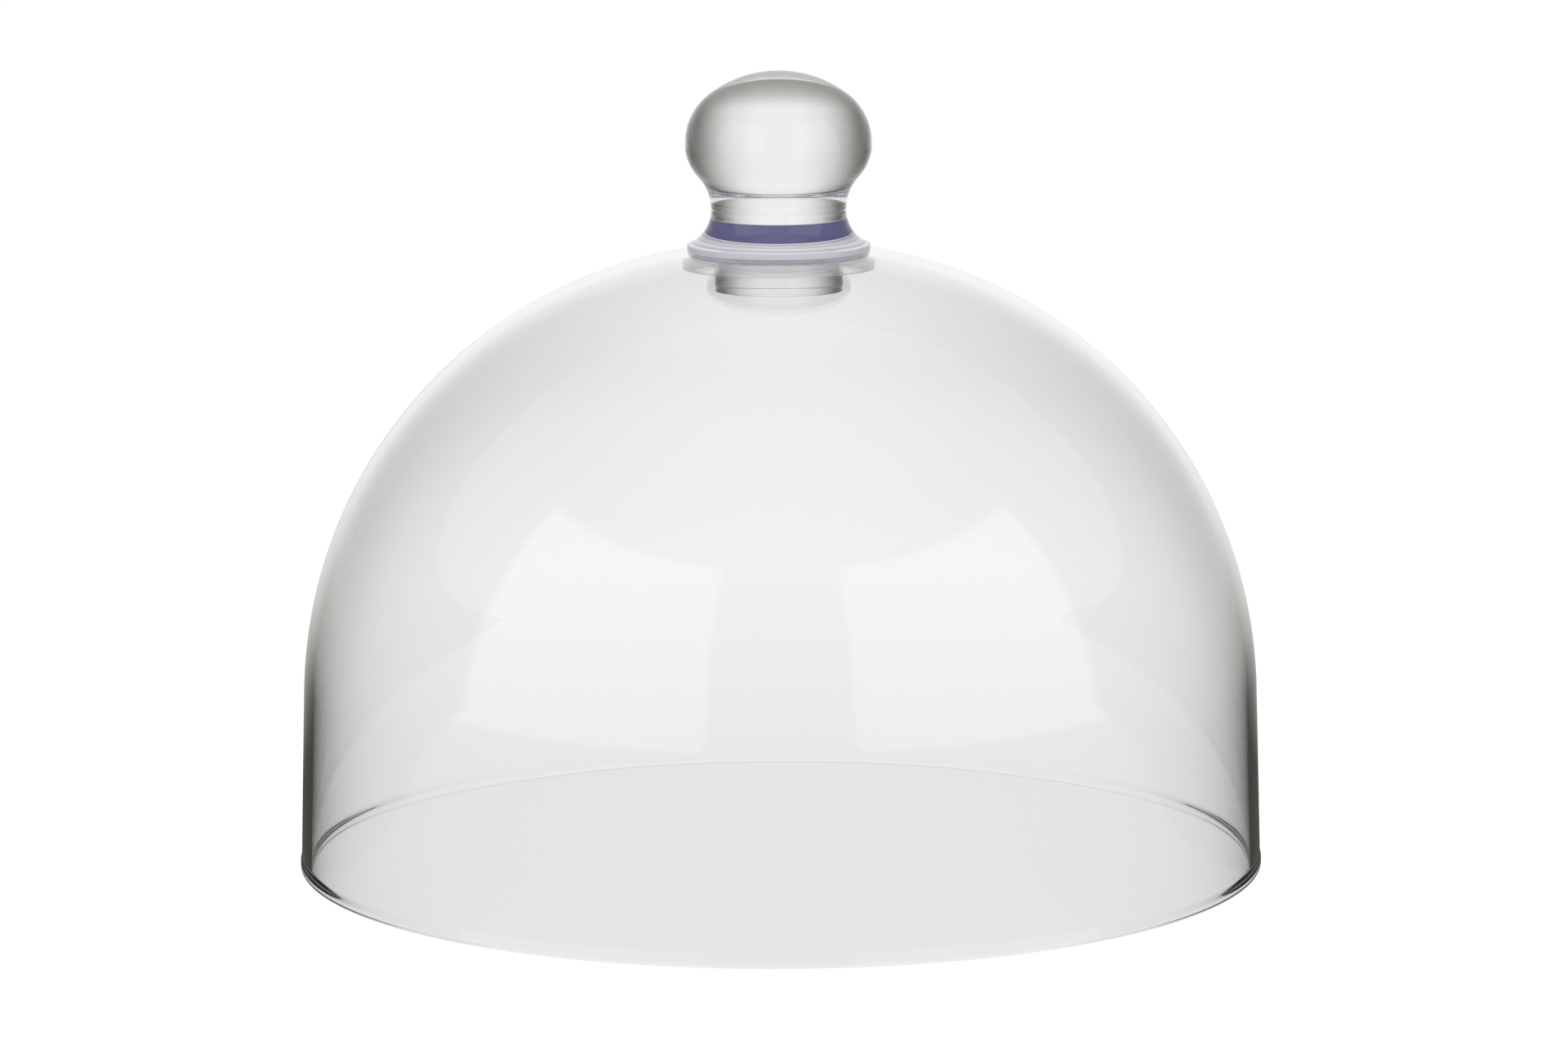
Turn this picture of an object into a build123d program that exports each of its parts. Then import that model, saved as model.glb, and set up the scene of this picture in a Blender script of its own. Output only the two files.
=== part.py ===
from build123d import *
import math
import os

# A clear, bell-shaped cover that is set down over food and lifted by a knob.
# Millimetres. Z = 0 is the surface that the rim rests on, and Z is the axis of the bell.
# Outlines are drawn as (distance from the axis, height) and turned round the axis.

# Bell
rim_radius = 150.0          # outside of the wall where it meets the table
wall_draft = 1.6            # degrees that the straight wall leans inwards
wall_rise = 56.0            # height of the straight wall below the crown
dome_height = 194.2         # outside of the crown on the axis
crown_balance = 4.5         # tangent length of the side arc over that of the crown arc
wall_thickness = 3.0
rim_bead_height = 2.4       # thickened edge round the foot of the wall
rim_bead_proud = 0.3
rim_edge_chamfer = 0.6

# Handle outline, as heights above the crown
neck_radius = 20.9          # narrowest place, just above the seam
neck_rise = 10.3
knob_radius = 28.9
knob_equator_rise = 30.8
knob_top_rise = 53.1
knob_top_balance = 0.77     # tangent length at the equator over that at the top
knob_neck_balance = 1.0     # tangent length at the neck over that at the equator
seam_rise = 7.8             # joint between the knob and the collar
flange_radius = 28.4        # foot of the collar
flare_radius = 11.7         # hollow curve from the neck down to the foot

# Fastening through the crown
seat_clearance = 0.1        # bond line between faces that bear on each other
hole_clearance = 0.3        # between the stud and the hole in the crown
thread_clearance = 0.1      # between the stud and the nut
stud_radius = 4.8
stud_short_of_nut = 0.8     # the stud ends this far above the nut's lower end
nut_flange_overhang = 1.2   # how far the nut's flange reaches past the collar's foot
nut_flange_thickness = 3.4
nut_wall = 14.9             # from the stud's bore to the outside of the hub
nut_hub_depth = 6.2
nut_edge_chamfer = 0.5

# Heights that follow
neck_height = dome_height + neck_rise
equator_height = dome_height + knob_equator_rise
top_height = dome_height + knob_top_rise
seam_height = dome_height + seam_rise
hole_radius = stud_radius + hole_clearance
nut_bore_radius = stud_radius + thread_clearance
nut_hub_radius = nut_bore_radius + nut_wall
nut_flange_radius = flange_radius + nut_flange_overhang
below_table = -10.0         # how far cutting shapes run past the rim
UPWARDS, TO_AXIS = 90.0, 180.0


def turned(outline):
    """Close an outline of edges into a face and turn it round the Z axis."""
    return revolve(Plane.XZ * make_face(outline), axis=Axis.Z, revolution_arc=360)


def disc(radius, low, high):
    """A plain round slug between two heights."""
    return Pos(0, 0, low) * extrude(Circle(radius), amount=high - low)


def arc(centre, start, finish):
    """The shorter arc round a centre from one point to another."""
    first, last = start - centre, finish - centre
    start_angle = math.degrees(math.atan2(first.Y, first.X))
    sweep = math.degrees(math.atan2(first.cross(last).Z, first.dot(last)))
    return CenterArc(centre, first.length, start_angle, sweep)


def arc_pair(start, start_angle, finish, finish_angle, balance):
    """Two arcs, tangent to each other and to a direction at each end: centre, middle, centre."""
    leave = Vector(1, 0).rotate(Axis.Z, start_angle)
    arrive = Vector(1, 0).rotate(Axis.Z, finish_angle)
    chord = finish - start
    square = 2 * balance * (1 - leave.dot(arrive))
    linear = 2 * chord.dot(leave * balance + arrive)
    root = math.sqrt(linear ** 2 + 4 * square * chord.dot(chord))
    arrive_length = 2 * chord.dot(chord) / (linear + root)
    leave_length = balance * arrive_length
    corner = start + leave * leave_length
    far_corner = finish - arrive * arrive_length
    middle = corner + (far_corner - corner) * (leave_length / (leave_length + arrive_length))
    return arc_centre(start, leave, middle), middle, arc_centre(finish, arrive, middle)


def arc_centre(point, direction, other):
    """Centre of the arc that passes a point in a direction and goes through another point."""
    normal = Vector(-direction.Y, direction.X)
    chord = other - point
    return point + normal * (chord.dot(chord) / (2 * normal.dot(chord)))


def crown_arcs(inset):
    """Ends and centres of the crown's two arcs on the surface that lies inside by the inset."""
    lean = math.radians(wall_draft)
    spring = Vector(rim_radius - math.tan(lean) * wall_rise, wall_rise)
    apex = Vector(0, dome_height)
    side, middle, top = arc_pair(spring, UPWARDS + wall_draft, apex, TO_AXIS, crown_balance)
    moved_spring = spring + (side - spring).normalized() * inset
    moved_middle = middle + (side - middle).normalized() * inset
    return moved_spring, side, moved_middle, top, Vector(0, dome_height - inset)


def bell(inset, foot=0.0):
    """The filled bell whose surface lies inside the outer one by the inset."""
    spring, side, middle, top, apex = crown_arcs(inset)
    lean = math.tan(math.radians(wall_draft))
    foot_edge = Vector(spring.X + lean * (spring.Y - foot), foot)
    return turned([
        Line(foot_edge, spring),
        arc(side, spring, middle),
        arc(top, middle, apex),
        Polyline(apex, Vector(0, foot), foot_edge)])


def crown_height_at(radius, inset):
    """Height of the bell's surface, moved in by the inset, at a distance from the axis."""
    _, side, middle, top, apex = crown_arcs(inset)
    centre = top if radius < middle.X else side
    reach = (middle - centre).length
    return centre.Y + math.sqrt(reach ** 2 - (radius - centre.X) ** 2)


def make_dome_shell():
    """The bell with its beaded rim and the round hole for the collar's stud."""
    bead_radius = rim_radius + rim_bead_proud
    bead_root = rim_radius - wall_thickness / 2
    bead = turned(Polyline(
        (bead_root, 0),
        (bead_radius, 0),
        (bead_radius, rim_bead_height),
        (bead_root, rim_bead_height + 2 * rim_bead_proud),
        close=True))
    shell = bell(0) + bead
    shell -= bell(wall_thickness, foot=below_table)
    shell -= disc(hole_radius, dome_height / 2, dome_height + wall_thickness)
    rim_edges = shell.edges().group_by(Axis.Z)[0]
    return chamfer(rim_edges, rim_edge_chamfer)


def make_knob():
    """The solid knob with its flat foot."""
    neck = Vector(neck_radius, neck_height)
    equator = Vector(knob_radius, equator_height)
    top = Vector(0, top_height)
    neck_centre, waist, shoulder_centre = arc_pair(neck, UPWARDS, equator, UPWARDS, knob_neck_balance)
    side_centre, brow, cap_centre = arc_pair(equator, UPWARDS, top, TO_AXIS, knob_top_balance)
    seam_edge = Vector(flare_reach_at(seam_height), seam_height)
    return turned([
        arc(flare_centre(), seam_edge, neck),
        arc(neck_centre, neck, waist),
        arc(shoulder_centre, waist, equator),
        arc(side_centre, equator, brow),
        arc(cap_centre, brow, top),
        Polyline(top, Vector(0, seam_height), seam_edge)])


def flare_centre():
    """Centre of the hollow curve under the neck."""
    return Vector(neck_radius + flare_radius, neck_height)


def flare_reach_at(height):
    """Distance of the hollow curve from the axis at a height."""
    drop = neck_height - height
    return flare_centre().X - math.sqrt(flare_radius ** 2 - drop ** 2)


def nut_bottom_height():
    """Lower end of the nut's hub."""
    flange_underside = crown_height_at(nut_flange_radius, wall_thickness) - nut_flange_thickness
    return flange_underside - nut_hub_depth


def make_knob_collar():
    """The flared collar, seated on the crown, with the stud that goes through it."""
    collar_top = seam_height - seat_clearance
    centre = flare_centre()
    edge_drop = math.sqrt(flare_radius ** 2 - (centre.X - flange_radius) ** 2)
    top_edge = Vector(flare_reach_at(collar_top), collar_top)
    flange_edge = Vector(flange_radius, neck_height - edge_drop)
    below_seat = crown_height_at(flange_radius, 0) - wall_thickness
    body = turned([
        arc(centre, top_edge, flange_edge),
        Polyline(
            flange_edge,
            Vector(flange_radius, below_seat),
            Vector(0, below_seat),
            Vector(0, collar_top),
            top_edge)])
    body -= bell(-seat_clearance)
    return body + disc(stud_radius, nut_bottom_height() + stud_short_of_nut, collar_top)


def make_retaining_nut():
    """The ring nut under the crown: a flange that follows the inside of the bell, and a hub."""
    bottom = nut_bottom_height()
    flange_underside = bottom + nut_hub_depth
    nut = disc(nut_flange_radius, flange_underside, dome_height)
    nut += disc(nut_hub_radius, bottom, flange_underside)
    nut &= bell(wall_thickness + seat_clearance)
    nut -= disc(nut_bore_radius, bottom, dome_height)
    lower_edges = nut.edges().group_by(Axis.Z)[0].sort_by(SortBy.RADIUS)[-1:]
    return chamfer(lower_edges, nut_edge_chamfer)


def main():
    os.makedirs("parts", exist_ok=True)
    pieces = {
        "dome_shell": make_dome_shell(),
        "knob": make_knob(),
        "knob_collar": make_knob_collar(),
        "retaining_nut": make_retaining_nut(),
    }
    for name, shape in pieces.items():
        export_step(shape, f"parts/{name}.step")


main()
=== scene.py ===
import math

import bmesh
import bpy
from bpy.props import FloatProperty, FloatVectorProperty, PointerProperty
from mathutils import Matrix, Vector


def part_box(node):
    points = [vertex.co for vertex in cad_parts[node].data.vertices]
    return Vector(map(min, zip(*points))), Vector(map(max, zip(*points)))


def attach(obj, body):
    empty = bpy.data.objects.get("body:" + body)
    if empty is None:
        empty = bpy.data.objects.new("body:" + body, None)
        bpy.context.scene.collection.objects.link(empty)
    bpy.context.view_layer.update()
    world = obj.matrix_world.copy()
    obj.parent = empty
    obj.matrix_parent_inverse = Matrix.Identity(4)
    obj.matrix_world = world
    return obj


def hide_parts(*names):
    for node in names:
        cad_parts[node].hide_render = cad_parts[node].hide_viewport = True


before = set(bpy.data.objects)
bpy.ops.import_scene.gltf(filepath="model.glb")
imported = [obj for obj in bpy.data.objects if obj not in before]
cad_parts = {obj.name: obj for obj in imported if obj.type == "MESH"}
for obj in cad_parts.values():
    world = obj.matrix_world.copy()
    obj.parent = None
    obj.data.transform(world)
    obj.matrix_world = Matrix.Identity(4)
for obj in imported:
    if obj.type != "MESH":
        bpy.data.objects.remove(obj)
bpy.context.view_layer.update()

bl_info = {
    "name": "Clear Food Cover",
    "version": (1, 0, 0),
    "blender": (4, 5, 0),
    "location": "3D Viewport > Sidebar > Food Cover",
    "description": "Builds a clear bell-shaped food cover with its knob, collar and nut",
    "category": "Object",
}

TURN_STEPS = 288                   # sides of every turned piece
ARC_STEP = math.radians(2.2)       # between points along a tight curve
WALL_STEP = math.radians(0.9)      # between points along the bell's wide curves
SEAT_STEP = math.radians(0.5)      # between points where pieces bear on the crown
EDGE_STEP = math.radians(9)        # between points round the bell's foot
CORNER_STEPS = (0.0, 0.25, 0.5, 0.75, 1.0)
SHARP_ANGLE = math.radians(40)
TOUCHING = 1e-7                    # points nearer than this are one point
SMALL_ROUND, ROUND = 0.0003, 0.0004    # softening of the pieces' edges, in metres

PLASTIC_INDEX = 1.49               # refraction of clear acrylic
HANDLE_WAVES = 30.0                # scale of the moulding waves on the small pieces
BELL_WAVES = 9.0
HANDLE_RIPPLE = 0.3                # share of the bell's ripple on the small pieces

KNOB_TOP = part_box("knob")[1][2]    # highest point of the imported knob


class BellSettings(bpy.types.PropertyGroup):
    rim_radius: FloatProperty(
        name="Rim radius", description="Outside of the wall at the table",
        default=0.150, min=0.05, max=0.4, unit="LENGTH")
    draft: FloatProperty(
        name="Draft", description="How far the straight wall leans inwards",
        default=math.radians(1.6), min=0.0, max=0.2, unit="ROTATION")
    wall_rise: FloatProperty(
        name="Wall rise", description="Height of the straight wall below the crown",
        default=0.056, min=0.0, max=0.2, unit="LENGTH")
    height: FloatProperty(
        name="Crown height", description="Outside of the crown on the axis",
        default=0.1942, min=0.05, max=0.4, unit="LENGTH")
    crown_balance: FloatProperty(
        name="Crown balance", description="Tangent length of the side arc over the crown arc's",
        default=4.5, min=0.5, max=10.0)
    thickness: FloatProperty(
        name="Wall thickness", description="Thickness of the clear wall",
        default=0.003, min=0.001, max=0.008, unit="LENGTH")
    bead_height: FloatProperty(
        name="Bead height", description="Height of the thicker edge at the foot",
        default=0.0024, min=0.0, max=0.01, unit="LENGTH")
    bead_proud: FloatProperty(
        name="Bead proud", description="How far the edge stands out from the wall",
        default=0.00025, min=0.0, max=0.003, unit="LENGTH")
    edge_round: FloatProperty(
        name="Edge round", description="Rounding along the foot",
        default=0.0008, min=0.0, max=0.0015, unit="LENGTH")
    hole_radius: FloatProperty(
        name="Hole radius", description="Hole in the crown for the collar's stud",
        default=0.0051, min=0.002, max=0.05, unit="LENGTH")


class KnobSettings(bpy.types.PropertyGroup):
    neck_radius: FloatProperty(
        name="Neck radius", description="Narrowest place above the seam",
        default=0.0209, min=0.005, max=0.05, unit="LENGTH")
    neck_height: FloatProperty(
        name="Neck height", description="Height of the narrowest place",
        default=0.2045, min=0.05, max=0.5, unit="LENGTH")
    radius: FloatProperty(
        name="Knob radius", description="Widest part of the knob",
        default=0.0289, min=0.01, max=0.06, unit="LENGTH")
    equator: FloatProperty(
        name="Equator height", description="Height of the widest part",
        default=0.225, min=0.05, max=0.5, unit="LENGTH")
    top: FloatProperty(
        name="Top height", description="Highest point of the knob",
        default=KNOB_TOP, min=0.05, max=0.5, unit="LENGTH")
    top_balance: FloatProperty(
        name="Top balance", description="Tangent length at the equator over that at the top",
        default=0.77, min=0.2, max=3.0)
    seam: FloatProperty(
        name="Seam height", description="Joint between the knob and the collar",
        default=0.202, min=0.05, max=0.5, unit="LENGTH")
    flare_radius: FloatProperty(
        name="Flare radius", description="Hollow curve from the neck down to the foot",
        default=0.0117, min=0.002, max=0.05, unit="LENGTH")


class CollarSettings(bpy.types.PropertyGroup):
    flange_radius: FloatProperty(
        name="Flange radius", description="Foot of the collar on the crown",
        default=0.0284, min=0.01, max=0.06, unit="LENGTH")
    gap: FloatProperty(
        name="Seat gap", description="Air between faces that bear on each other",
        default=0.0001, min=0.0, max=0.001, unit="LENGTH")
    stud_radius: FloatProperty(
        name="Stud radius", description="Stud that goes down through the crown",
        default=0.0048, min=0.002, max=0.05, unit="LENGTH")
    nut_flange_radius: FloatProperty(
        name="Nut flange radius", description="Flange that bears on the inside of the crown",
        default=0.0296, min=0.01, max=0.06, unit="LENGTH")
    nut_flange: FloatProperty(
        name="Nut flange", description="Thickness of the nut's flange at its edge",
        default=0.0034, min=0.001, max=0.01, unit="LENGTH")
    hub_radius: FloatProperty(
        name="Hub radius", description="Outside of the nut below its flange",
        default=0.0198, min=0.005, max=0.05, unit="LENGTH")
    hub_depth: FloatProperty(
        name="Hub depth", description="How far the hub stands below the flange",
        default=0.0062, min=0.001, max=0.02, unit="LENGTH")
    core_radius: FloatProperty(
        name="Core radius", description="Violet core inside the collar",
        default=0.0196, min=0.002, max=0.03, unit="LENGTH")
    core_cover: FloatProperty(
        name="Core cover", description="Clear plastic over and under the core",
        default=0.0002, min=0.0, max=0.005, unit="LENGTH")
    foot_depth: FloatProperty(
        name="Foot depth", description="Thickness of the pale ring in the foot",
        default=0.00175, min=0.0, max=0.005, unit="LENGTH")
    foot_cover: FloatProperty(
        name="Foot cover", description="Clear plastic between the pale ring and the seat",
        default=0.00015, min=0.0, max=0.005, unit="LENGTH")


class PlasticSettings(bpy.types.PropertyGroup):
    shell_tint: FloatVectorProperty(
        name="Shell tint", description="What light keeps on its way through the bell",
        default=(0.920, 0.925, 0.940), min=0.0, max=1.0, subtype="COLOR")
    shell_depth: FloatProperty(
        name="Shell depth", description="How strongly the bell's plastic tints, per metre",
        default=22.0, min=0.0, max=400.0)
    knob_tint: FloatVectorProperty(
        name="Knob tint", description="What light keeps on its way through the knob",
        default=(0.86, 0.88, 0.92), min=0.0, max=1.0, subtype="COLOR")
    knob_depth: FloatProperty(
        name="Knob depth", description="How strongly the knob's plastic tints, per metre",
        default=6.0, min=0.0, max=400.0)
    collar_tint: FloatVectorProperty(
        name="Collar tint", description="What light keeps on its way through the collar",
        default=(0.70, 0.70, 0.82), min=0.0, max=1.0, subtype="COLOR")
    collar_depth: FloatProperty(
        name="Collar depth", description="How strongly the collar's plastic tints, per metre",
        default=14.0, min=0.0, max=400.0)
    # painted light: the pale ring's colour stands in for the light seen through the clear foot
    foot_painted_light: FloatVectorProperty(
        name="Foot", description="Colour of the pale ring in the collar's foot",
        default=(0.70, 0.69, 0.655), min=0.0, max=1.0, subtype="COLOR")
    core_colour: FloatVectorProperty(
        name="Core colour", description="The violet core in the collar",
        default=(0.125, 0.12, 0.22), min=0.0, max=1.0, subtype="COLOR")
    smudge: FloatProperty(
        name="Smudges", description="Extra roughness where the plastic has been handled",
        default=0.012, min=0.0, max=0.3)
    ripple: FloatProperty(
        name="Ripple", description="Height of the faint waves that moulding leaves",
        default=0.00002, min=0.0, max=0.001, unit="LENGTH", precision=6)


class StudioSettings(bpy.types.PropertyGroup):
    floor_size: FloatProperty(
        name="Floor size", description="Side of the pale floor",
        default=16.0, min=2.0, max=60.0, unit="LENGTH")
    floor_colour: FloatVectorProperty(
        name="Floor colour", description="The pale floor",
        default=(0.86, 0.86, 0.86), min=0.0, max=1.0, subtype="COLOR")
    softbox: FloatProperty(
        name="Softbox", description="Brightness of the two softboxes in front",
        default=0.9, min=0.0, max=4.0)
    sweep: FloatProperty(
        name="Sweep", description="Brightness of the white sweep behind the cover",
        default=0.93, min=0.0, max=2.0)
    front: FloatProperty(
        name="Front", description="Brightness of the dim room in front",
        default=0.28, min=0.0, max=2.0)
    above: FloatProperty(
        name="Above", description="Brightness of the room overhead",
        default=0.45, min=0.0, max=2.0)
    backdrop: FloatProperty(
        name="Backdrop", description="Brightness of the floor that the camera looks at directly",
        default=1.12, min=0.0, max=2.0)
    side: FloatProperty(
        name="Side", description="Brightness of the dark sides",
        default=0.11, min=0.0, max=2.0)
    # painted shadow: the floor's glow under the bell stands in for the bell's shadow
    under: FloatProperty(
        name="Under", description="Brightness of the floor under the bell",
        default=0.82, min=0.0, max=2.0)
    # painted shade: the floor under the bell as the bell's wall mirrors it
    turned: FloatProperty(
        name="Turned", description="The same floor where the bell's wall mirrors it",
        default=0.30, min=0.0, max=2.0)
    lit_share: FloatProperty(
        name="Lit share", description="Share of the white floor that lamps light and shadows darken",
        default=0.2, min=0.0, max=1.0)
    plain_light: FloatProperty(
        name="Plain light", description="Brightness of the room where it only lights the floor",
        default=0.6, min=0.0, max=2.0)
    lens: FloatProperty(
        name="Lens", description="Focal length of the camera in millimetres",
        default=142.4, min=20.0, max=400.0)


def point(radius, height):
    """A point of an outline: distance from the axis, height."""
    return Vector((radius, height))


def heading(degrees):
    """Direction on an outline, from 0 outwards to 90 upwards."""
    return Vector((math.cos(math.radians(degrees)), math.sin(math.radians(degrees))))


def arc_centre(start, direction, other):
    """Centre of the arc that leaves a point in a direction and goes through another point."""
    normal = Vector((-direction.y, direction.x))
    chord = other - start
    return start + normal * (chord.dot(chord) / (2 * normal.dot(chord)))


def arc_pair(start, start_angle, finish, finish_angle, balance):
    """Two arcs, tangent to each other and to a direction at each end: centre, middle, centre."""
    leave, arrive = heading(start_angle), heading(finish_angle)
    chord = finish - start
    square = 2 * balance * (1 - leave.dot(arrive))
    linear = 2 * chord.dot(leave * balance + arrive)
    root = math.sqrt(linear ** 2 + 4 * square * chord.dot(chord))
    arrive_length = 2 * chord.dot(chord) / (linear + root)
    leave_length = balance * arrive_length
    corner = start + leave * leave_length
    far_corner = finish - arrive * arrive_length
    middle = corner + (far_corner - corner) * (leave_length / (leave_length + arrive_length))
    return arc_centre(start, leave, middle), middle, arc_centre(finish, arrive, middle)


def arc(centre, start, finish, step=ARC_STEP):
    """Points along the shorter arc round a centre, both ends included."""
    first, last = start - centre, finish - centre
    sweep = math.atan2(first.x * last.y - first.y * last.x, first.dot(last))
    count = max(2, math.ceil(abs(sweep) / step))
    return [centre + Matrix.Rotation(sweep * i / count, 2) @ first for i in range(count + 1)]


def run(start, finish, parts):
    """Points along a straight run, both ends included."""
    return [start.lerp(finish, i / parts) for i in range(parts + 1)]


def joined(*stretches):
    """One outline from stretches that meet, with the shared points once."""
    outline = []
    for stretch in stretches:
        for p in stretch:
            if not outline or (p - outline[-1]).length > TOUCHING:
                outline.append(p)
    return outline


def softened(outline, radius):
    """An outline from axis to axis with its sharp corners rounded off by small curves."""
    count = len(outline)
    result = []
    for i, here in enumerate(outline):
        if i in (0, count - 1):
            result.append(here)
            continue
        before, after = outline[i - 1], outline[i + 1]
        arriving, leaving = (here - before), (after - here)
        bend = abs(arriving.angle(leaving))
        shorter = min(arriving.length, leaving.length)
        reach = min(radius * math.tan(bend / 2), shorter * 0.45)
        if bend < math.radians(12) or reach < TOUCHING:
            result.append(here)
            continue
        start = here - arriving.normalized() * reach
        finish = here + leaving.normalized() * reach
        for t in CORNER_STEPS:
            result.append(start * (1 - t) ** 2 + here * 2 * t * (1 - t) + finish * t ** 2)
    return result


def turned_mesh(name, outline, closed):
    """A mesh turned round Z from an outline. An open outline starts and ends on the axis."""
    mesh = bpy.data.meshes.new(name)
    shape = bmesh.new()
    rings = []
    for p in outline:
        if p.x < TOUCHING:
            rings.append([shape.verts.new((0.0, 0.0, p.y))])
            continue
        ring = []
        for k in range(TURN_STEPS):
            angle = 2 * math.pi * k / TURN_STEPS
            ring.append(shape.verts.new((p.x * math.cos(angle), p.x * math.sin(angle), p.y)))
        rings.append(ring)
    pairs = list(zip(rings, rings[1:]))
    if closed:
        pairs.append((rings[-1], rings[0]))
    for lower, upper in pairs:
        for k in range(TURN_STEPS):
            j = (k + 1) % TURN_STEPS
            if len(lower) == 1:
                corners = (lower[0], upper[j], upper[k])
            elif len(upper) == 1:
                corners = (lower[k], lower[j], upper[0])
            else:
                corners = (lower[k], lower[j], upper[j], upper[k])
            shape.faces.new(corners)
    bmesh.ops.recalc_face_normals(shape, faces=shape.faces)
    shape.to_mesh(mesh)
    shape.free()
    mesh.shade_smooth()
    mesh.set_sharp_from_angle(angle=SHARP_ANGLE)
    return mesh


def place_piece(name, outline, closed, material, node):
    """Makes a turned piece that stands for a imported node."""
    old = bpy.data.objects.get(name)
    if old is not None:
        bpy.data.objects.remove(old, do_unlink=True)
    piece = bpy.data.objects.new(name, turned_mesh(name, outline, closed))
    bpy.context.scene.collection.objects.link(piece)
    piece.data.materials.append(material)
    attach(piece, "root")
    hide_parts(node)
    return piece


def crown_arcs(bell, inset):
    """Ends and centres of the crown's two arcs on the surface that lies inside by the inset."""
    spring = point(bell.rim_radius - math.tan(bell.draft) * bell.wall_rise, bell.wall_rise)
    apex = point(0.0, bell.height)
    lean = math.degrees(bell.draft)
    side, middle, top = arc_pair(spring, 90 + lean, apex, 180, bell.crown_balance)
    moved_spring = spring + (side - spring).normalized() * inset
    moved_middle = middle + (side - middle).normalized() * inset
    return moved_spring, side, moved_middle, top, point(0.0, bell.height - inset)


def crown_at(bell, radius, inset):
    """Point of the crown's surface, moved in by the inset, at a distance from the axis."""
    _, side, middle, top, _ = crown_arcs(bell, inset)
    centre = top if radius < middle.x else side
    reach = (middle - centre).length
    return point(radius, centre.y + math.sqrt(reach ** 2 - (radius - centre.x) ** 2))


def crown_stretch(bell, inset, inner, outer):
    """Points along the crown's surface between two distances from the axis."""
    _, side, middle, top, _ = crown_arcs(bell, inset)
    start, finish = crown_at(bell, inner, inset), crown_at(bell, outer, inset)
    if outer <= middle.x:
        return arc(top, start, finish, SEAT_STEP)
    return joined(arc(top, start, middle, SEAT_STEP), arc(side, middle, finish, SEAT_STEP))


def bell_outline(bell):
    """The bell's closed outline: up the outside from the foot, through the hole, down inside."""
    spring, side, middle, top, _ = crown_arcs(bell, 0.0)
    in_spring, in_side, in_middle, in_top, _ = crown_arcs(bell, bell.thickness)
    lean = math.tan(bell.draft)
    hole_out = crown_at(bell, bell.hole_radius, 0.0)
    hole_in = crown_at(bell, bell.hole_radius, bell.thickness)
    bead = bell.rim_radius + bell.bead_proud
    bead_top = bell.bead_height + 2 * bell.bead_proud
    wall_over_bead = point(spring.x + lean * (spring.y - bead_top), bead_top)
    inner_foot = point(in_spring.x + lean * in_spring.y, 0.0)
    edge = bell.edge_round
    out_low = point(bead - edge, 0.0)
    out_side = point(bead, edge)
    in_side_point = point(inner_foot.x - lean * edge, edge)
    in_low = point(in_side_point.x + edge, 0.0)
    return joined(
        [out_low],
        arc(point(bead - edge, edge), out_low, out_side, EDGE_STEP),
        [point(bead, bell.bead_height)],
        run(wall_over_bead, spring, 24),
        arc(side, spring, middle, WALL_STEP),
        arc(top, middle, hole_out, WALL_STEP),
        run(hole_out, hole_in, 3),
        arc(in_top, hole_in, in_middle, WALL_STEP),
        arc(in_side, in_middle, in_spring, WALL_STEP),
        run(in_spring, in_side_point, 24),
        arc(point(in_side_point.x + edge, edge), in_side_point, in_low, EDGE_STEP),
        run(in_low, out_low, 3)[:-1])


def flare_centre(knob):
    """Centre of the hollow curve under the neck."""
    return point(knob.neck_radius + knob.flare_radius, knob.neck_height)


def flare_at(knob, height):
    """Point of the hollow curve under the neck at a height."""
    centre = flare_centre(knob)
    drop = knob.neck_height - height
    return point(centre.x - math.sqrt(knob.flare_radius ** 2 - drop ** 2), height)


def knob_outline(knob):
    """The knob from its flat foot to its top."""
    neck = point(knob.neck_radius, knob.neck_height)
    equator = point(knob.radius, knob.equator)
    top = point(0.0, knob.top)
    neck_centre, waist, shoulder = arc_pair(neck, 90, equator, 90, 1.0)
    side, brow, cap = arc_pair(equator, 90, top, 180, knob.top_balance)
    seam_edge = flare_at(knob, knob.seam)
    outline = joined(
        run(point(0.0, knob.seam), seam_edge, 6),
        arc(flare_centre(knob), seam_edge, neck),
        arc(neck_centre, neck, waist),
        arc(shoulder, waist, equator),
        arc(side, equator, brow),
        arc(cap, brow, top))
    return softened(outline, ROUND)


def hub_end(bell, collar):
    """Lower end of the nut's hub."""
    under_flange = crown_at(bell, collar.nut_flange_radius, bell.thickness).y - collar.nut_flange
    return under_flange - collar.hub_depth


def collar_outline(bell, knob, collar):
    """The collar from its seat on the crown to the seam."""
    top = knob.seam - collar.gap
    centre = flare_centre(knob)
    edge_reach = centre.x - collar.flange_radius
    edge_drop = math.sqrt(knob.flare_radius ** 2 - edge_reach ** 2)
    top_edge = flare_at(knob, top)
    flange_edge = point(collar.flange_radius, knob.neck_height - edge_drop)
    seat = crown_stretch(bell, -collar.gap, collar.stud_radius, collar.flange_radius)
    outline = joined(
        run(point(0.0, seat[0].y), seat[0], 2),
        seat,
        run(seat[-1], flange_edge, 2),
        arc(centre, flange_edge, top_edge),
        run(top_edge, point(0.0, top), 6))
    return softened(outline, SMALL_ROUND)


def core_outline(bell, knob, collar):
    """The violet core that is moulded into the collar."""
    low = bell.height + collar.gap + collar.core_cover
    high = knob.seam - collar.gap - collar.core_cover
    edge = collar.core_radius
    outline = joined(
        run(point(0.0, low), point(edge, low), 6),
        run(point(edge, low), point(edge, high), 4),
        run(point(edge, high), point(0.0, high), 6))
    return softened(outline, SMALL_ROUND)


def foot_outline(bell, collar):
    """An opaque pale ring in the collar's foot, just above its seat: painted light that stands in
    for the light seen through the clear foot.
    """
    inner, outer = collar.core_radius + 0.0001, collar.flange_radius - 0.0003
    bottom = collar.gap + collar.foot_cover
    low = crown_stretch(bell, -bottom, inner, outer)
    high = crown_stretch(bell, -(bottom + collar.foot_depth), inner, outer)
    return joined(low, list(reversed(high)))


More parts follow.
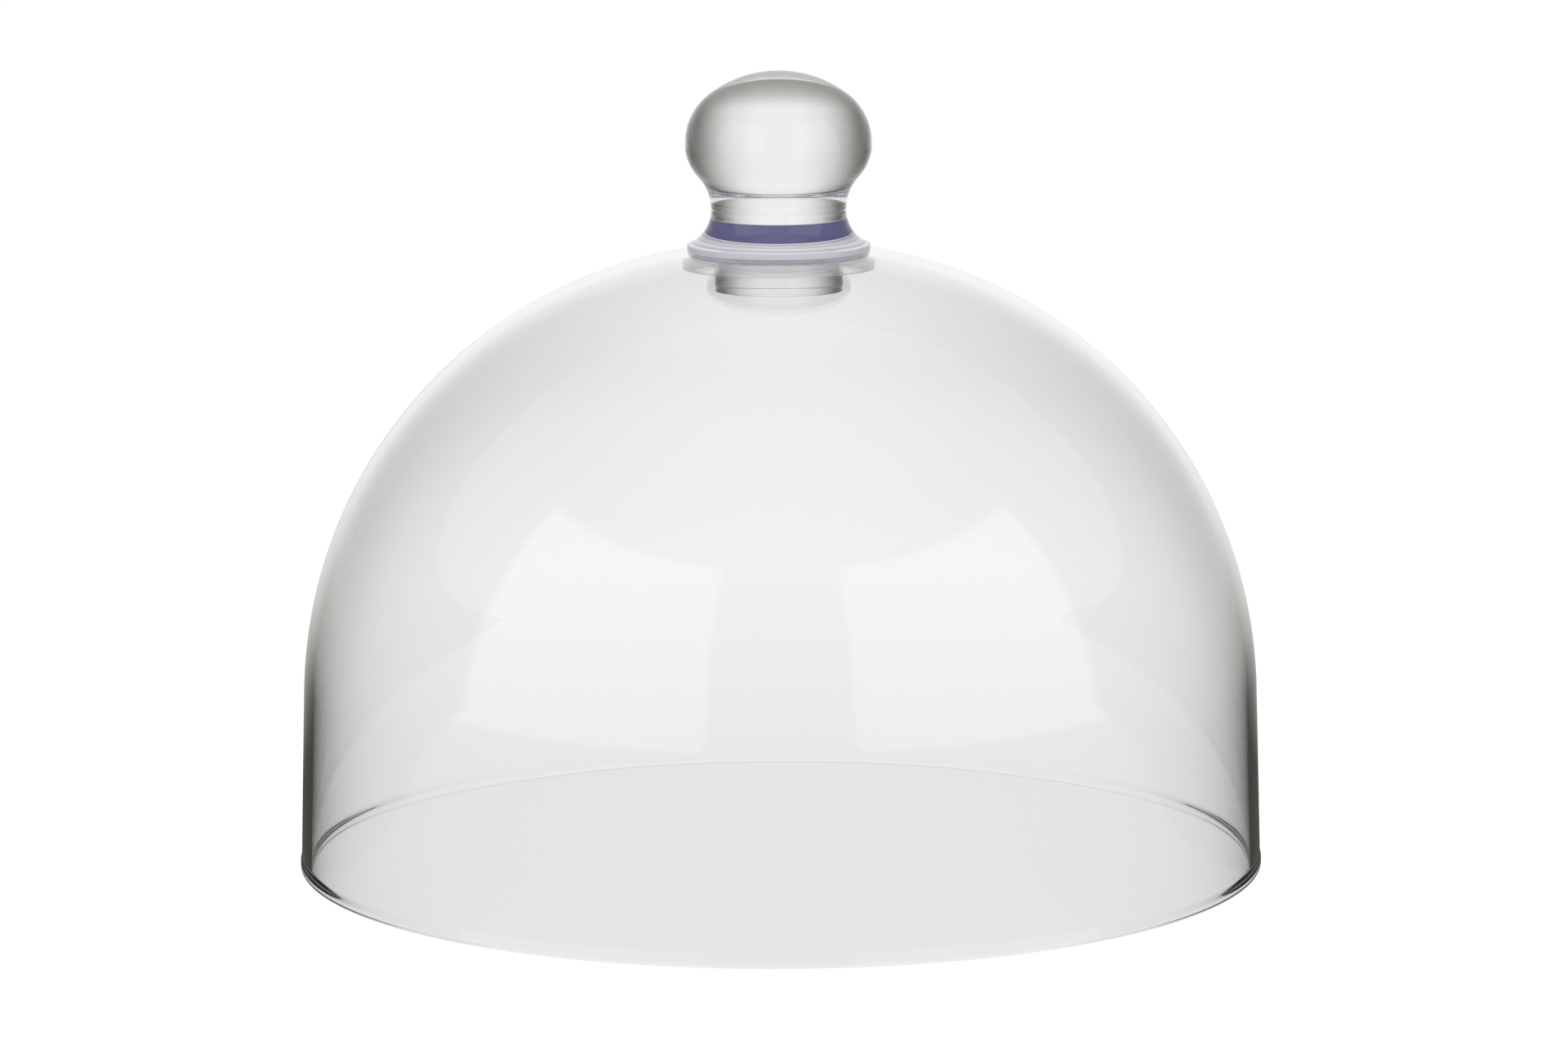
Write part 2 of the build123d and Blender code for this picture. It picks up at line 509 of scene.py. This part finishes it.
def stud_outline(bell, collar):
    """The part of the stud in the crown's hole, just clear of the collar and the nut."""
    root = crown_at(bell, collar.stud_radius, -collar.gap).y - 0.00002
    end = bell.height - bell.thickness + 0.00005
    outline = joined(
        run(point(0.0, end), point(collar.stud_radius, end), 3),
        run(point(collar.stud_radius, end), point(collar.stud_radius, root), 6),
        run(point(collar.stud_radius, root), point(0.0, root), 3))
    return softened(outline, SMALL_ROUND)


def nut_outline(bell, collar):
    """The nut, drawn as one lump with the stud that fills it."""
    bottom = hub_end(bell, collar)
    underside = bottom + collar.hub_depth
    seat = crown_stretch(bell, bell.thickness + collar.gap, 0.0, collar.nut_flange_radius)
    outline = joined(
        run(point(0.0, bottom), point(collar.hub_radius, bottom), 2),
        run(point(collar.hub_radius, bottom), point(collar.hub_radius, underside), 4),
        run(point(collar.hub_radius, underside), point(collar.nut_flange_radius, underside), 4),
        run(point(collar.nut_flange_radius, underside), seat[-1], 2),
        list(reversed(seat)))
    return softened(outline, ROUND)


def math_node(tree, operation, *values):
    """Output of a math node that works on sockets and plain numbers."""
    node = tree.nodes.new("ShaderNodeMath")
    node.operation = operation
    for socket, value in zip(node.inputs, values):
        if isinstance(value, (int, float)):
            socket.default_value = value
        else:
            tree.links.new(value, socket)
    return node.outputs[0]


def product(tree, first, second):
    return math_node(tree, "MULTIPLY", first, second)


def total(tree, first, second):
    return math_node(tree, "ADD", first, second)


def larger(tree, first, second):
    return math_node(tree, "MAXIMUM", first, second)


def rest_of(tree, share):
    """One less the share."""
    return math_node(tree, "SUBTRACT", 1.0, share)


def ramp(tree, value, low, high, low_value=0.0, high_value=1.0):
    """A smooth step from one value to another between two limits."""
    node = tree.nodes.new("ShaderNodeMapRange")
    node.interpolation_type = "SMOOTHSTEP"
    tree.links.new(value, node.inputs["Value"])
    for name, setting in (("From Min", low), ("From Max", high),
                          ("To Min", low_value), ("To Max", high_value)):
        node.inputs[name].default_value = setting
    return node.outputs["Result"]


def straight_ramp(tree, value, low, high):
    """0 to 1 in a straight line between two limits."""
    node = tree.nodes.new("ShaderNodeMapRange")
    tree.links.new(value, node.inputs["Value"])
    node.inputs["From Min"].default_value = low
    node.inputs["From Max"].default_value = high
    return node.outputs["Result"]


def length_of(tree, vector):
    """Length of a vector socket."""
    node = tree.nodes.new("ShaderNodeVectorMath")
    node.operation = "LENGTH"
    tree.links.new(vector, node.inputs[0])
    return node.outputs["Value"]


def noise(tree, place, scale, detail, distortion=0.0):
    """Strength of a noise pattern at a place."""
    node = tree.nodes.new("ShaderNodeTexNoise")
    tree.links.new(place, node.inputs["Vector"])
    for name, setting in (("Scale", scale), ("Detail", detail), ("Distortion", distortion)):
        if isinstance(setting, (int, float)):
            node.inputs[name].default_value = setting
        else:
            tree.links.new(setting, node.inputs[name])
    return node.outputs["Fac"]


def mixed_colour(tree, share, first, second):
    """A colour between two plain colours."""
    node = tree.nodes.new("ShaderNodeMix")
    node.data_type = "RGBA"
    node.inputs["A"].default_value = (*first, 1.0)
    node.inputs["B"].default_value = (*second, 1.0)
    tree.links.new(share, node.inputs["Factor"])
    return node.outputs["Result"]


def cleared(owner, output):
    """Node tree of a material or world, emptied but for its output node."""
    owner.use_nodes = True
    owner.node_tree.nodes.clear()
    return owner.node_tree, owner.node_tree.nodes.new(output)


def new_group(name, inputs, outputs):
    """An empty node group with its sockets, each given as a name and a kind."""
    group = bpy.data.node_groups.new(name, "ShaderNodeTree")
    for way, sockets in (("INPUT", inputs), ("OUTPUT", outputs)):
        for title, kind in sockets.items():
            group.interface.new_socket(name=title, in_out=way, socket_type="NodeSocket" + kind)
    return group, group.nodes.new("NodeGroupInput"), group.nodes.new("NodeGroupOutput")


def use_group(tree, group, **given):
    """A node in the tree that runs a group on sockets or plain values."""
    node = tree.nodes.new("ShaderNodeGroup")
    node.node_tree = group
    for name, value in given.items():
        socket = node.inputs[name.replace("_", " ")]
        if isinstance(value, (int, float)):
            socket.default_value = value
        else:
            tree.links.new(value, socket)
    return node


def handled_surface():
    """Node group: faint waves from moulding, and smudges and specks of dust from handling."""
    name = "handled_surface"
    if name in bpy.data.node_groups:
        return bpy.data.node_groups[name]
    group, given, out = new_group(
        name, {"Wave Scale": "Float", "Smudge Scale": "Float", "Smudge": "Float"},
        {"Height": "Float", "Roughness": "Float"})
    place = group.nodes.new("ShaderNodeTexCoord").outputs["Object"]
    waves = noise(group, place, given.outputs["Wave Scale"], 1.0)
    smudges = noise(group, place, given.outputs["Smudge Scale"], 5.0, 0.6)
    specks = group.nodes.new("ShaderNodeTexVoronoi")
    specks.inputs["Scale"].default_value = 260.0
    group.links.new(place, specks.inputs["Vector"])
    marks = larger(group, straight_ramp(group, smudges, 0.50, 0.72),
                   straight_ramp(group, specks.outputs["Distance"], 0.05, 0.02))
    group.links.new(waves, out.inputs["Height"])
    group.links.new(product(group, marks, given.outputs["Smudge"]), out.inputs["Roughness"])
    return group


def clear_plastic(name, tint, depth, wave_scale, ripple, smudge, through):
    """A clear moulded plastic that tints by its depth and lets the lamps' light through."""
    material = bpy.data.materials.new(name)
    tree, out = cleared(material, "ShaderNodeOutputMaterial")
    nodes, link = tree.nodes, tree.links.new
    body = nodes.new("ShaderNodeBsdfPrincipled")
    body.inputs["Base Color"].default_value = (1.0, 1.0, 1.0, 1.0)
    body.inputs["Metallic"].default_value = 0.0
    body.inputs["IOR"].default_value = PLASTIC_INDEX
    body.inputs["Transmission Weight"].default_value = 1.0
    surface = use_group(tree, handled_surface(), Wave_Scale=wave_scale, Smudge_Scale=22.0,
                        Smudge=smudge)
    bump = nodes.new("ShaderNodeBump")
    bump.inputs["Strength"].default_value = 1.0
    bump.inputs["Distance"].default_value = ripple
    link(surface.outputs["Height"], bump.inputs["Height"])
    link(surface.outputs["Roughness"], body.inputs["Roughness"])
    link(bump.outputs["Normal"], body.inputs["Normal"])
    lamp_side = nodes.new("ShaderNodeBsdfTransparent")
    lamp_side.inputs["Color"].default_value = (*through, 1.0)
    path = nodes.new("ShaderNodeLightPath")
    choose = nodes.new("ShaderNodeMixShader")
    link(larger(tree, path.outputs["Is Shadow Ray"], path.outputs["Is Diffuse Ray"]),
         choose.inputs["Fac"])
    link(body.outputs[0], choose.inputs[1])
    link(lamp_side.outputs[0], choose.inputs[2])
    link(choose.outputs[0], out.inputs["Surface"])
    tinting = nodes.new("ShaderNodeVolumeAbsorption")
    tinting.inputs["Color"].default_value = (*tint, 1.0)
    tinting.inputs["Density"].default_value = depth
    link(tinting.outputs[0], out.inputs["Volume"])
    return material


def violet_core_plastic(colour):
    """The opaque violet core inside the collar, faintly cloudy."""
    material = bpy.data.materials.new("violet_core_plastic")
    tree, out = cleared(material, "ShaderNodeOutputMaterial")
    place = tree.nodes.new("ShaderNodeTexCoord").outputs["Object"]
    body = tree.nodes.new("ShaderNodeBsdfPrincipled")
    cloudy = mixed_colour(tree, noise(tree, place, 120.0, 3.0),
                          [c * 0.9 for c in colour], [c * 1.1 for c in colour])
    tree.links.new(cloudy, body.inputs["Base Color"])
    body.inputs["Roughness"].default_value = 0.5
    body.inputs["Specular IOR Level"].default_value = 0.0
    tree.links.new(body.outputs[0], out.inputs["Surface"])
    return material


def pale_foot_plastic(colour):
    """The pale ring in the collar's foot: painted bands of light and shade round the axis, a little
    wavy, standing in for the light through the clear foot.
    """
    material = bpy.data.materials.new("pale_foot_plastic")
    tree, out = cleared(material, "ShaderNodeOutputMaterial")
    place = tree.nodes.new("ShaderNodeTexCoord").outputs["Object"]
    flat = tree.nodes.new("ShaderNodeVectorMath")
    flat.operation = "MULTIPLY"
    flat.inputs[1].default_value = (1.0, 1.0, 0.0)
    tree.links.new(place, flat.inputs[0])
    waviness, inner_edge, ring_width = 0.0016, 0.0203, 0.0086
    wavy_radius = math_node(tree, "MULTIPLY_ADD", noise(tree, place, 45.0, 1.0), waviness,
                            length_of(tree, flat.outputs["Vector"]))
    across = math_node(tree, "DIVIDE", math_node(tree, "SUBTRACT", wavy_radius, inner_edge),
                       ring_width)
    painted_light_bands = tree.nodes.new("ShaderNodeValToRGB")
    bands = painted_light_bands.color_ramp
    bands.interpolation = "EASE"
    # share of the way across the ring, and how light the painted light and shade make the ring there
    stops = ((0.00, 1.25), (0.07, 1.25), (0.13, 0.66), (0.24, 0.95), (0.40, 1.05), (0.48, 0.74),
             (0.55, 1.15), (0.70, 0.98), (0.80, 0.62), (0.88, 1.10), (1.00, 0.72))
    while len(bands.elements) < len(stops):
        bands.elements.new(0.5)
    for band, (position, light) in zip(bands.elements, stops):
        # the painted shade bands are made a little bluer
        coolness = 1.0 if light > 0.9 else 1.14
        red, green, blue = (c * light for c in colour)
        band.position = position
        band.color = (min(1.0, red), min(1.0, green), min(1.0, blue * coolness), 1.0)
    tree.links.new(across, painted_light_bands.inputs["Fac"])
    skin = tree.nodes.new("ShaderNodeBsdfPrincipled")
    tree.links.new(painted_light_bands.outputs["Color"], skin.inputs["Base Color"])
    skin.inputs["Roughness"].default_value = 0.3
    tree.links.new(skin.outputs[0], out.inputs["Surface"])
    return material


def room_group(studio):
    """Node group: brightness of the room in a direction.

    A bright sweep stands behind the cover, the sides are dim, and two softboxes are in front."""
    name = "room_brightness"
    if name in bpy.data.node_groups:
        return bpy.data.node_groups[name]
    group, given, out = new_group(name, {"Direction": "Vector"}, {"Brightness": "Float"})
    parts = group.nodes.new("ShaderNodeSeparateXYZ")
    group.links.new(given.outputs["Direction"], parts.inputs[0])
    x, y, z = parts.outputs
    level_reach = math_node(group, "SQRT", total(group, product(group, x, x), product(group, y, y)))
    rise = math_node(group, "ARCTAN2", z, level_reach)
    # 0 straight behind the cover, 180 degrees towards the camera
    side = math_node(group, "ARCTAN2", math_node(group, "ABSOLUTE", x), y)

    def over(angle, low, high, low_value=0.0, high_value=1.0):
        return ramp(group, angle, math.radians(low), math.radians(high), low_value, high_value)

    sweep = over(side, 6, 56, studio.sweep - studio.side, 0.0)
    front = over(side, 100, 150, 0.0, studio.front)
    walls = total(group, total(group, sweep, front), studio.side)
    overhead = over(rise, 48, 85)
    room = total(group, product(group, walls, rest_of(group, overhead)),
                 product(group, overhead, studio.above))
    box_across = product(group, over(side, 97, 101), over(side, 161, 165, 1.0, 0.0))
    box_upright = product(group, over(rise, -2.6, -1.4), over(rise, 41.5, 46, 1.0, 0.0))
    glow_below = product(group, over(rise, -30, -6, 0.0, 0.4), over(rise, -2.6, -1.4, 1.0, 0.0))
    box = product(group, product(group, box_across, total(group, box_upright, glow_below)),
                  studio.softbox)
    group.links.new(larger(group, room, box), out.inputs["Brightness"])
    return group


def tone_group():
    """Node group: colour of the room's light, a little warm where it is dim."""
    name = "room_tone"
    if name in bpy.data.node_groups:
        return bpy.data.node_groups[name]
    group, given, out = new_group(name, {"Level": "Float", "Watched": "Float"}, {"Colour": "Color"})
    bright = product(group, given.outputs["Level"], 1.25)
    share = larger(group, bright, rest_of(group, given.outputs["Watched"]))
    tone = mixed_colour(group, math_node(group, "MINIMUM", share, 1.0),
                        (1.0, 0.95, 0.86), (1.0, 1.0, 1.0))
    group.links.new(tone, out.inputs["Colour"])
    return group


def seen_rays(tree):
    """The light path, and three switches made from it.

    watched: 1 for a ray that makes the picture, 0 for one that only lights something.
    unturned: 1 for a ray that nothing has mirrored.
    through: 1 for a ray that has gone through the bell's two walls and nothing else."""
    path = tree.nodes.new("ShaderNodeLightPath").outputs
    watched = larger(tree, path["Is Camera Ray"],
                     larger(tree, path["Is Glossy Ray"], path["Is Transmission Ray"]))
    unturned = math_node(tree, "COMPARE", path["Ray Depth"], path["Transmission Depth"], 0.5)
    four_surfaces = math_node(tree, "COMPARE", path["Ray Depth"], 4.0, 0.5)
    return path, watched, unturned, product(tree, unturned, four_surfaces)


def floor_material(studio):
    """The pale floor: plain and lit, and white where the camera looks past the cover. For the rays
    that make the picture it mostly glows, with the room's light, the bell's shadow and the shade
    round the cover painted into the glow.
    """
    material = bpy.data.materials.new("pale_floor")
    tree, out = cleared(material, "ShaderNodeOutputMaterial")
    nodes, link = tree.nodes, tree.links.new
    path, watched, unturned, through = seen_rays(tree)
    place = nodes.new("ShaderNodeNewGeometry").outputs["Position"]
    lowered = nodes.new("ShaderNodeVectorMath")
    lowered.operation = "SUBTRACT"
    lowered.inputs[1].default_value = (0.0, 0.0, 0.05)      # as seen from inside the bell
    link(place, lowered.inputs[0])
    # painted light: the floor glows with the room's brightness as seen from just under the bell, so
    # the softboxes' light and the dim sides are painted onto it
    room = use_group(tree, room_group(studio), Direction=lowered.outputs[0]).outputs[0]
    reach = length_of(tree, place)
    # painted shadow: inside the bell's foot the floor's glow drops to the under level in place of
    # the bell's shadow, and to the darker turned level where the bell's wall mirrors it
    under = ramp(tree, reach, 0.147, 0.151, 1.0, 0.0)
    # painted shade: the floor seen straight through the bell glows a little dimmer close to the
    # cover
    behind = ramp(tree, reach, 0.15, 0.60, 0.90, 1.0)
    # painted shade: the floor's glow is turned down close to the cover, except where the bell's
    # outside mirrors it directly
    direct = product(tree, math_node(tree, "LESS_THAN", path["Ray Depth"], 1.5),
                     path["Is Glossy Ray"])
    shade_near_cover = larger(tree, ramp(tree, reach, 0.20, 0.70, 0.20, 1.0), direct)
    backdrop = larger(tree, product(tree, path["Is Camera Ray"], studio.backdrop),
                      product(tree, through, behind))
    open_floor = larger(tree, product(tree, room, shade_near_cover), backdrop)
    # painted shadow under the bell: the under level for rays that nothing has mirrored, the darker
    # turned level, a painted shade, for mirrored ones
    inside = math_node(tree, "MULTIPLY_ADD", unturned, studio.under - studio.turned, studio.turned)
    level = total(tree, product(tree, under, inside),
                  product(tree, open_floor, rest_of(tree, under)))
    glow = nodes.new("ShaderNodeEmission")
    link(level, glow.inputs["Strength"])
    link(use_group(tree, tone_group(), Level=level, Watched=watched).outputs[0],
         glow.inputs["Color"])
    plain = nodes.new("ShaderNodeBsdfDiffuse")
    plain.inputs["Color"].default_value = (*studio.floor_colour, 1.0)
    # the lit share carries the cover's shadow
    white = larger(tree, path["Is Camera Ray"], through)
    lit_share = product(tree, larger(tree, under, white), studio.lit_share)
    choose = nodes.new("ShaderNodeMixShader")
    link(product(tree, watched, rest_of(tree, lit_share)), choose.inputs["Fac"])
    link(plain.outputs[0], choose.inputs[1])
    link(glow.outputs[0], choose.inputs[2])
    link(choose.outputs[0], out.inputs["Surface"])
    return material


def room_world(studio):
    """The room: white behind the cover for the camera, the studio for reflections, plain light."""
    world = bpy.data.worlds.new("studio_room")
    bpy.context.scene.world = world
    tree, out = cleared(world, "ShaderNodeOutputWorld")
    link = tree.links.new
    path, watched, _, through = seen_rays(tree)
    place = tree.nodes.new("ShaderNodeTexCoord")
    room = use_group(tree, room_group(studio), Direction=place.outputs["Generated"]).outputs[0]
    level = larger(tree, room, larger(tree, path["Is Camera Ray"], through))
    plain = product(tree, rest_of(tree, watched), studio.plain_light)
    glow = tree.nodes.new("ShaderNodeBackground")
    link(math_node(tree, "MULTIPLY_ADD", level, watched, plain), glow.inputs["Strength"])
    link(use_group(tree, tone_group(), Level=level, Watched=watched).outputs[0],
         glow.inputs["Color"])
    link(glow.outputs[0], out.inputs["Surface"])
    return world


def add_softbox(name, azimuth):
    """A large soft lamp, aimed at the cover. Azimuth 0 is the camera's side, in degrees."""
    lamp = bpy.data.lights.new(name, "AREA")
    lamp.shape, lamp.size, lamp.size_y, lamp.energy = "RECTANGLE", 1.6, 1.4, 30.0
    holder = bpy.data.objects.new(name, lamp)
    bpy.context.scene.collection.objects.link(holder)
    turn, rise, distance = math.radians(azimuth), math.radians(35), 2.2
    away = Vector((math.sin(turn) * math.cos(rise), -math.cos(turn) * math.cos(rise),
                   math.sin(rise)))
    holder.location = away * distance + Vector((0, 0, 0.1))
    holder.rotation_mode = "QUATERNION"
    holder.rotation_quaternion = (-away).to_track_quat("-Z", "Y")
    holder.visible_camera = False
    holder.visible_glossy = False
    holder.visible_transmission = False


def add_camera(studio):
    """The camera at the photograph's angle, looking slightly down at the cover."""
    lens = bpy.data.cameras.new("photo_camera")
    lens.lens, lens.sensor_width, lens.sensor_fit = studio.lens, 36.0, "HORIZONTAL"
    lens.clip_start, lens.clip_end = 0.05, 100.0
    camera = bpy.data.objects.new("photo_camera", lens)
    bpy.context.scene.collection.objects.link(camera)
    yaw, pitch, roll = math.radians(0.0396), math.radians(9.432), math.radians(-0.2)
    ahead = Vector((math.sin(yaw) * math.cos(pitch), math.cos(yaw) * math.cos(pitch),
                    -math.sin(pitch)))
    camera.location = (0.0, -1.9036, 0.4227)
    camera.rotation_mode = "QUATERNION"
    rolled = Matrix.Rotation(roll, 3, "Z").to_quaternion()
    camera.rotation_quaternion = ahead.to_track_quat("-Z", "Y") @ rolled
    bpy.context.scene.camera = camera


def small_plastic(name, look, tint, depth, ripple_share, through):
    """The clear plastic of a small piece."""
    return clear_plastic(name, tint, depth, HANDLE_WAVES, look.ripple * ripple_share,
                         look.smudge, through)


class FOODCOVER_OT_bell(bpy.types.Operator):
    """Build the clear bell with its beaded rim"""
    bl_idname = "foodcover.bell"
    bl_label = "Bell"

    def execute(self, context):
        scene, look = context.scene, context.scene.cover_plastic
        material = clear_plastic("clear_bell_plastic", look.shell_tint, look.shell_depth,
                                 BELL_WAVES, look.ripple, look.smudge, (0.93, 0.93, 0.93))
        place_piece("clear_bell", bell_outline(scene.cover_bell), True, material,
                    "dome_shell")
        return {"FINISHED"}


class FOODCOVER_OT_knob(bpy.types.Operator):
    """Build the solid clear knob"""
    bl_idname = "foodcover.knob"
    bl_label = "Knob"

    def execute(self, context):
        scene, look = context.scene, context.scene.cover_plastic
        material = small_plastic("clear_knob_plastic", look, look.knob_tint, look.knob_depth,
                                 HANDLE_RIPPLE, (0.9, 0.9, 0.9))
        place_piece("clear_knob", knob_outline(scene.cover_knob), False, material,
                    "knob")
        return {"FINISHED"}


class FOODCOVER_OT_collar(bpy.types.Operator):
    """Build the violet collar with its stud, and the nut that holds it"""
    bl_idname = "foodcover.collar"
    bl_label = "Collar and nut"

    def execute(self, context):
        scene, look = context.scene, context.scene.cover_plastic
        bell, knob, collar = scene.cover_bell, scene.cover_knob, scene.cover_collar
        body = small_plastic("clear_collar_plastic", look, look.collar_tint, look.collar_depth,
                             HANDLE_RIPPLE, (0.8, 0.8, 0.85))
        stud = small_plastic("clear_stud_plastic", look, look.knob_tint, look.knob_depth,
                             0.0, (0.9, 0.9, 0.9))
        nut = small_plastic("clear_nut_plastic", look, look.knob_tint, look.knob_depth,
                            HANDLE_RIPPLE, (0.9, 0.9, 0.93))
        place_piece("violet_collar", collar_outline(bell, knob, collar), False, body,
                    "knob_collar")
        place_piece("violet_core", core_outline(bell, knob, collar), False,
                    violet_core_plastic(look.core_colour), "knob_collar")
        # the pale foot ring is painted light: an opaque ring in place of the light seen through the
        # clear foot
        place_piece("pale_foot", foot_outline(bell, collar), True,
                    pale_foot_plastic(look.foot_painted_light), "knob_collar")
        place_piece("clear_stud", stud_outline(bell, collar), False, stud,
                    "knob_collar")
        place_piece("clear_nut", nut_outline(bell, collar), False, nut,
                    "retaining_nut")
        return {"FINISHED"}


class FOODCOVER_OT_studio(bpy.types.Operator):
    """Build the floor, the room, the lamps and the camera"""
    bl_idname = "foodcover.studio"
    bl_label = "Studio"

    def execute(self, context):
        studio = context.scene.cover_studio
        half = studio.floor_size / 2
        mesh = bpy.data.meshes.new("pale_floor")
        corners = [(-half, -half, 0), (half, -half, 0), (half, half, 0), (-half, half, 0)]
        mesh.from_pydata(corners, [], [(0, 1, 2, 3)])
        floor = bpy.data.objects.new("pale_floor", mesh)
        floor.location.z = -0.0002      # a hair below the foot, so the faces don't fight
        context.scene.collection.objects.link(floor)
        mesh.materials.append(floor_material(studio))
        room_world(studio)
        add_softbox("left_softbox", -50)
        add_softbox("right_softbox", 46)
        add_camera(studio)
        context.scene.view_settings.view_transform = "Standard"
        paths = context.scene.cycles
        paths.max_bounces = paths.transmission_bounces = paths.glossy_bounces = 40
        paths.transparent_max_bounces = 40
        return {"FINISHED"}


class FOODCOVER_PT_panel(bpy.types.Panel):
    """Steps that build the cover"""
    bl_label = "Food Cover"
    bl_idname = "FOODCOVER_PT_panel"
    bl_space_type = "VIEW_3D"
    bl_region_type = "UI"
    bl_category = "Food Cover"

    def draw(self, context):
        for step in STEPS:
            self.layout.operator(step.bl_idname)
        for name in GROUPS:
            settings = getattr(context.scene, name)
            box = self.layout.box()
            for entry in settings.bl_rna.properties:
                if entry.identifier not in ("rna_type", "name"):
                    box.prop(settings, entry.identifier)


GROUPS = {
    "cover_bell": BellSettings,
    "cover_knob": KnobSettings,
    "cover_collar": CollarSettings,
    "cover_plastic": PlasticSettings,
    "cover_studio": StudioSettings,
}
STEPS = (FOODCOVER_OT_bell, FOODCOVER_OT_knob, FOODCOVER_OT_collar, FOODCOVER_OT_studio)


def register():
    for name, group in GROUPS.items():
        bpy.utils.register_class(group)
        setattr(bpy.types.Scene, name, PointerProperty(type=group))
    for step in STEPS:
        bpy.utils.register_class(step)
    bpy.utils.register_class(FOODCOVER_PT_panel)


def unregister():
    bpy.utils.unregister_class(FOODCOVER_PT_panel)
    for step in reversed(STEPS):
        bpy.utils.unregister_class(step)
    for name, group in GROUPS.items():
        delattr(bpy.types.Scene, name)
        bpy.utils.unregister_class(group)


def main():
    register()
    bpy.ops.foodcover.bell()
    bpy.ops.foodcover.knob()
    bpy.ops.foodcover.collar()
    bpy.ops.foodcover.studio()


if __name__ == "__main__":
    main()
